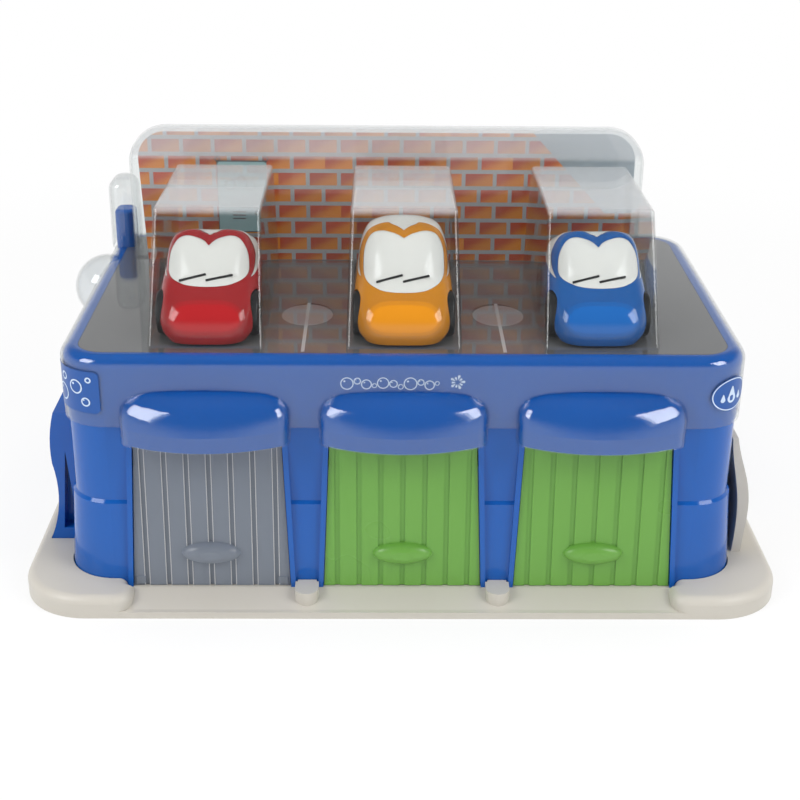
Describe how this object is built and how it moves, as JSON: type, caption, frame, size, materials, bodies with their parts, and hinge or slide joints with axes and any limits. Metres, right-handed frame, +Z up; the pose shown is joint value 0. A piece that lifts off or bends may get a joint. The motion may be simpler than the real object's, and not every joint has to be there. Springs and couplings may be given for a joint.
{
  "type": "toy car wash playset",
  "caption": "Toy car wash and garage with hinged slatted doors, a roof deck with parked toy cars and a clear lift-off cover.",
  "frame": {"origin": "centre of the tray's underside, on the floor", "axes": "+X to the right seen from the doors, +Y to the back, +Z up"},
  "size_m": [0.426, 0.254, 0.2295],
  "materials": {
    "tray_beige": "moulded polypropylene, soft sheen",
    "body_blue": "moulded polypropylene, gloss",
    "deck_grey": "moulded polypropylene, gloss",
    "cover_clear": "formed clear PET sheet",
    "card_print": "printed card with a brick pattern",
    "door_clear": "clear moulded plastic",
    "door_green": "moulded polypropylene, satin",
    "car_red": "moulded plastic, gloss",
    "car_yellow": "moulded plastic, gloss",
    "car_blue": "moulded plastic, gloss",
    "screen_white": "moulded plastic, gloss",
    "chassis_black": "moulded plastic",
    "wheel_black": "moulded plastic",
    "axle_steel": "drawn steel pin"
  },
  "bodies": {
    "playset": {"base_tray": "tray_beige", "body_shell": "body_blue", "roof_deck": "deck_grey", "side_rail": "tray_beige"},
    "cover": {"clear_cover": "cover_clear", "brick_card": "card_print"},
    "door_left": {"door_left": "door_clear"},
    "door_middle": {"door_middle": "door_green"},
    "door_right": {"door_right": "door_green"},
    "car_1": {"car_1_body": "car_red", "car_1_windscreen": "screen_white", "car_1_chassis": "chassis_black"},
    "car_1_front_axle": {"car_1_front_axle": "axle_steel", "car_1_front_wheel_left": "wheel_black", "car_1_front_wheel_right": "wheel_black"},
    "car_1_rear_axle": {"car_1_rear_axle": "axle_steel", "car_1_rear_wheel_left": "wheel_black", "car_1_rear_wheel_right": "wheel_black"},
    "car_2": {"car_2_body": "car_yellow", "car_2_windscreen": "screen_white", "car_2_chassis": "chassis_black"},
    "car_2_front_axle": {"car_2_front_axle": "axle_steel", "car_2_front_wheel_left": "wheel_black", "car_2_front_wheel_right": "wheel_black"},
    "car_2_rear_axle": {"car_2_rear_axle": "axle_steel", "car_2_rear_wheel_left": "wheel_black", "car_2_rear_wheel_right": "wheel_black"},
    "car_3": {"car_3_body": "car_blue", "car_3_windscreen": "screen_white", "car_3_chassis": "chassis_black"},
    "car_3_front_axle": {"car_3_front_axle": "axle_steel", "car_3_front_wheel_left": "wheel_black", "car_3_front_wheel_right": "wheel_black"},
    "car_3_rear_axle": {"car_3_rear_axle": "axle_steel", "car_3_rear_wheel_left": "wheel_black", "car_3_rear_wheel_right": "wheel_black"}
  },
  "joints": [
    {"name": "cover_lift", "type": "slide", "parent": "playset", "child": "cover", "axis": [0, 0, 1], "range_m": [0, 0.12]},
    {"name": "door_left_hinge", "type": "hinge", "parent": "playset", "child": "door_left", "pos_m": [-0.1065, -0.0987, 0.094], "axis": [-1, 0, 0], "range_deg": [0, 85]},
    {"name": "door_middle_hinge", "type": "hinge", "parent": "playset", "child": "door_middle", "pos_m": [0, -0.0987, 0.094], "axis": [-1, 0, 0], "range_deg": [0, 85]},
    {"name": "door_right_hinge", "type": "hinge", "parent": "playset", "child": "door_right", "pos_m": [0.1065, -0.0987, 0.094], "axis": [-1, 0, 0], "range_deg": [0, 85]},
    {"name": "car_1_lift", "type": "slide", "parent": "playset", "child": "car_1", "axis": [0, 0, 1], "range_m": [0, 0.06]},
    {"name": "car_1_front_roll", "type": "hinge", "parent": "car_1", "child": "car_1_front_axle", "pos_m": [-0.1065, -0.064, 0.1568], "axis": [1, 0, 0], "continuous": true},
    {"name": "car_1_rear_roll", "type": "hinge", "parent": "car_1", "child": "car_1_rear_axle", "pos_m": [-0.1065, -0.014, 0.1568], "axis": [1, 0, 0], "continuous": true},
    {"name": "car_2_lift", "type": "slide", "parent": "playset", "child": "car_2", "axis": [0, 0, 1], "range_m": [0, 0.06]},
    {"name": "car_2_front_roll", "type": "hinge", "parent": "car_2", "child": "car_2_front_axle", "pos_m": [0, -0.064, 0.1568], "axis": [1, 0, 0], "continuous": true},
    {"name": "car_2_rear_roll", "type": "hinge", "parent": "car_2", "child": "car_2_rear_axle", "pos_m": [0, -0.014, 0.1568], "axis": [1, 0, 0], "continuous": true},
    {"name": "car_3_lift", "type": "slide", "parent": "playset", "child": "car_3", "axis": [0, 0, 1], "range_m": [0, 0.06]},
    {"name": "car_3_front_roll", "type": "hinge", "parent": "car_3", "child": "car_3_front_axle", "pos_m": [0.1065, -0.064, 0.1568], "axis": [1, 0, 0], "continuous": true},
    {"name": "car_3_rear_roll", "type": "hinge", "parent": "car_3", "child": "car_3_rear_axle", "pos_m": [0.1065, -0.014, 0.1568], "axis": [1, 0, 0], "continuous": true}
  ],
  "couplings": [
    {"joint": "car_1_lift", "follows": "cover_lift", "ratio": 0.5},
    {"joint": "car_2_lift", "follows": "cover_lift", "ratio": 0.5},
    {"joint": "car_3_lift", "follows": "cover_lift", "ratio": 0.5}
  ]
}
